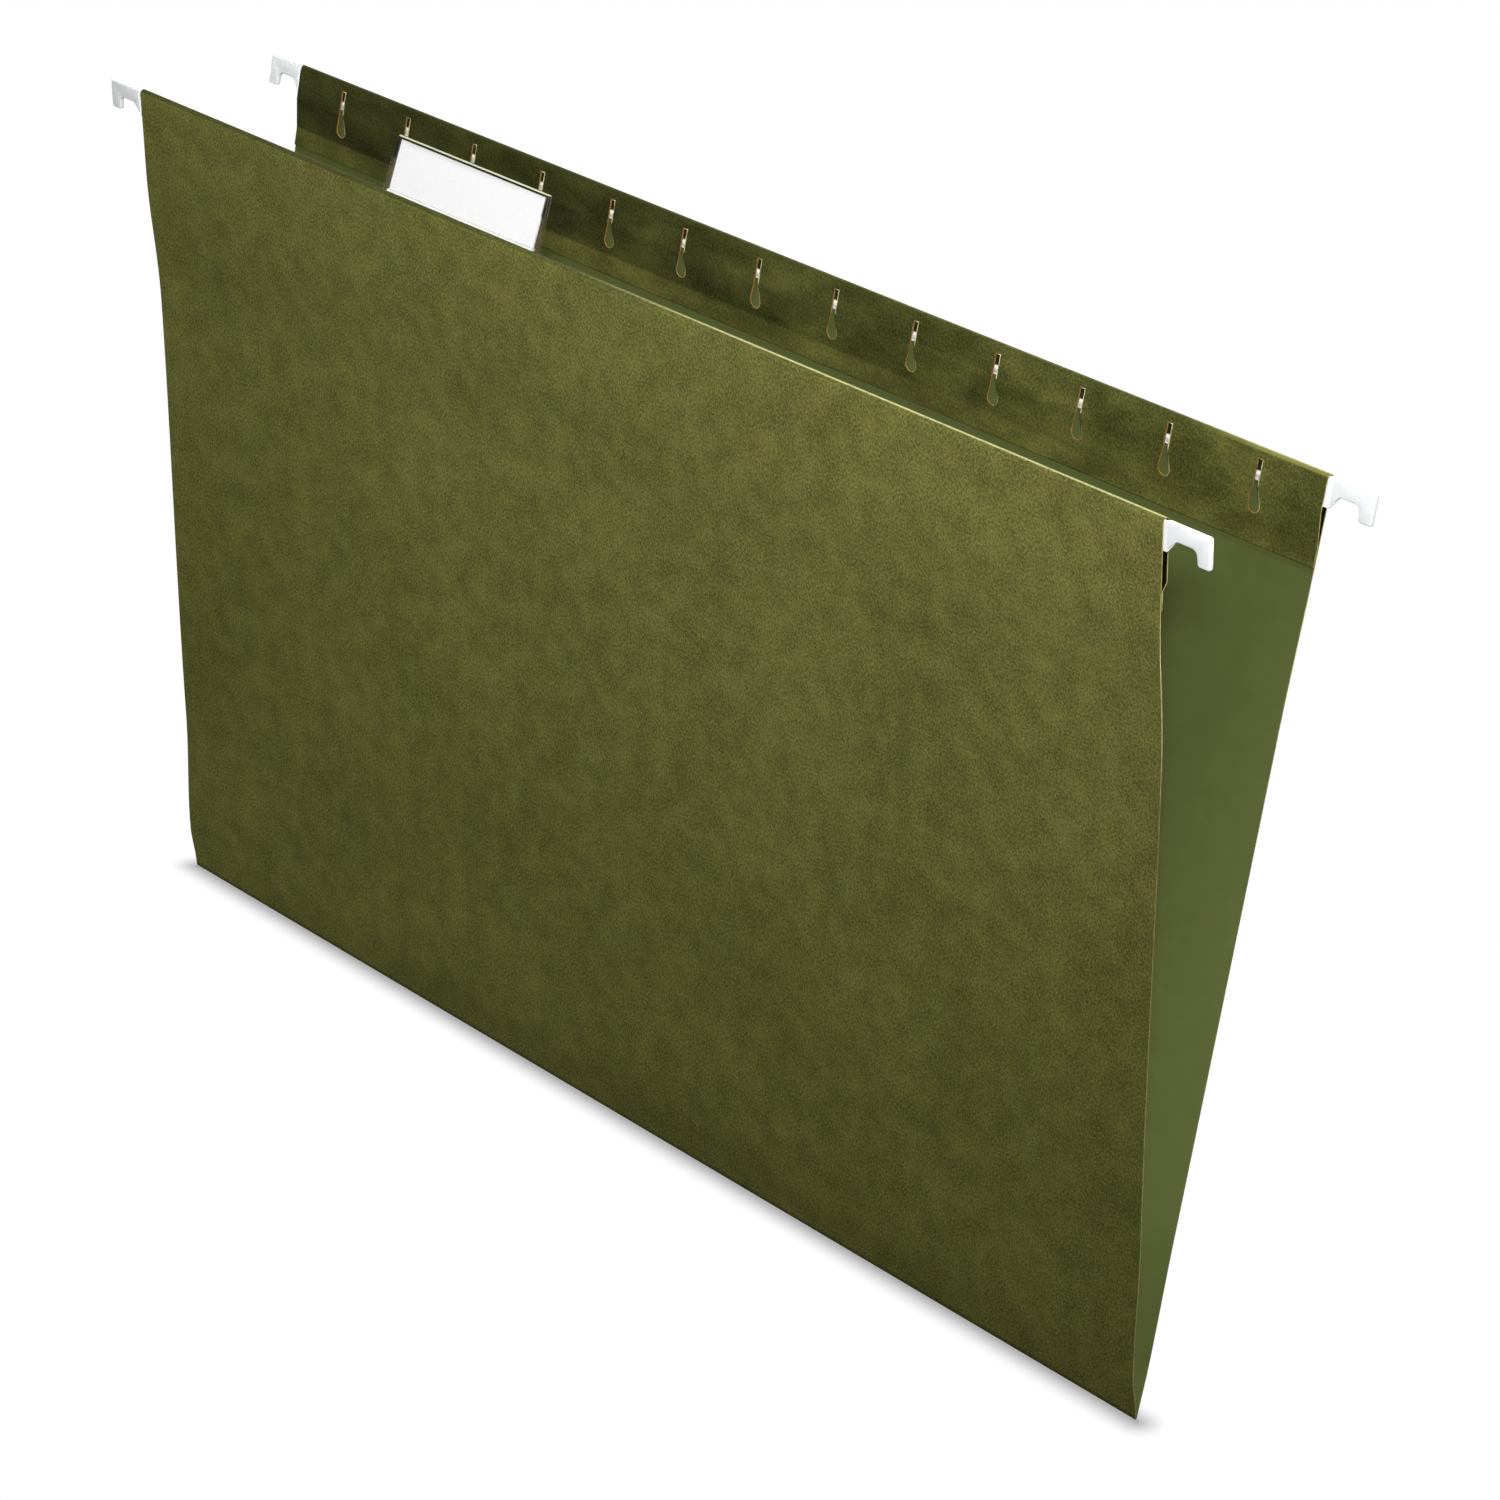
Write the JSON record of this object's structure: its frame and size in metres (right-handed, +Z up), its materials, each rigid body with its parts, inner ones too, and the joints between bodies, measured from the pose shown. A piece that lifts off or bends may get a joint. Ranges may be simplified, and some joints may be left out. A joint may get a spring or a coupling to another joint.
{
  "type": "hanging file folder",
  "caption": "Green card hanging file folder with hemmed panels, steel hanger rods with white coated hooks, keyhole slots and a clear label tab with a paper insert.",
  "frame": {"origin": "midway between the four hook notches, at the height where they rest on the rails", "axes": "+X along the rods, to the right seen from the front; +Y from the front panel to the back panel; +Z up"},
  "size_m": [0.4022, 0.0556, 0.2473],
  "materials": {
    "card_sheet": "matte mottled card",
    "steel": "bright",
    "white_coat": "satin",
    "clear_plastic": "clear gloss",
    "white_paper": "matte",
    "glue": "matte"
  },
  "bodies": {
    "back_rod": {"back_hanger_rod": "steel", "back_left_hook_coat": "white_coat", "back_right_hook_coat": "white_coat"},
    "back_side": {"back_panel": "card_sheet", "bottom_crease": "card_sheet", "back_hem": "card_sheet", "back_glue_line": "glue"},
    "front_side": {"front_panel": "card_sheet", "front_hem": "card_sheet", "front_glue_line": "glue", "tab_foot": "clear_plastic"},
    "front_rod": {"front_hanger_rod": "steel", "front_left_hook_coat": "white_coat", "front_right_hook_coat": "white_coat"},
    "tab": {"tab_sleeve": "clear_plastic"},
    "insert": {"tab_insert": "white_paper"}
  },
  "joints": [
    {"name": "back_rod_play", "type": "slide", "parent": "back_rod", "child": "back_side", "axis": [1, 0, 0], "range_m": [-0.0011, 0.0011]},
    {"name": "bottom_fold", "type": "hinge", "parent": "back_side", "child": "front_side", "pos_m": [0, 0, -0.22904], "axis": [1, 0, 0], "range_deg": [-11.5, 166.5]},
    {"name": "front_rod_play", "type": "slide", "parent": "front_side", "child": "front_rod", "axis": [1, 0, 0], "range_m": [-0.0011, 0.0011]},
    {"name": "tab_tilt", "type": "hinge", "parent": "front_side", "child": "tab", "pos_m": [-0.05588, -0.02541, 0.00394], "axis": [-1, 0, 0], "range_deg": [-22, 36], "stiffness_Nm_per_rad": 0.004},
    {"name": "insert_slide", "type": "slide", "parent": "tab", "child": "insert", "axis": [1, 0, 0], "range_m": [-0.06, 0.06]}
  ]
}
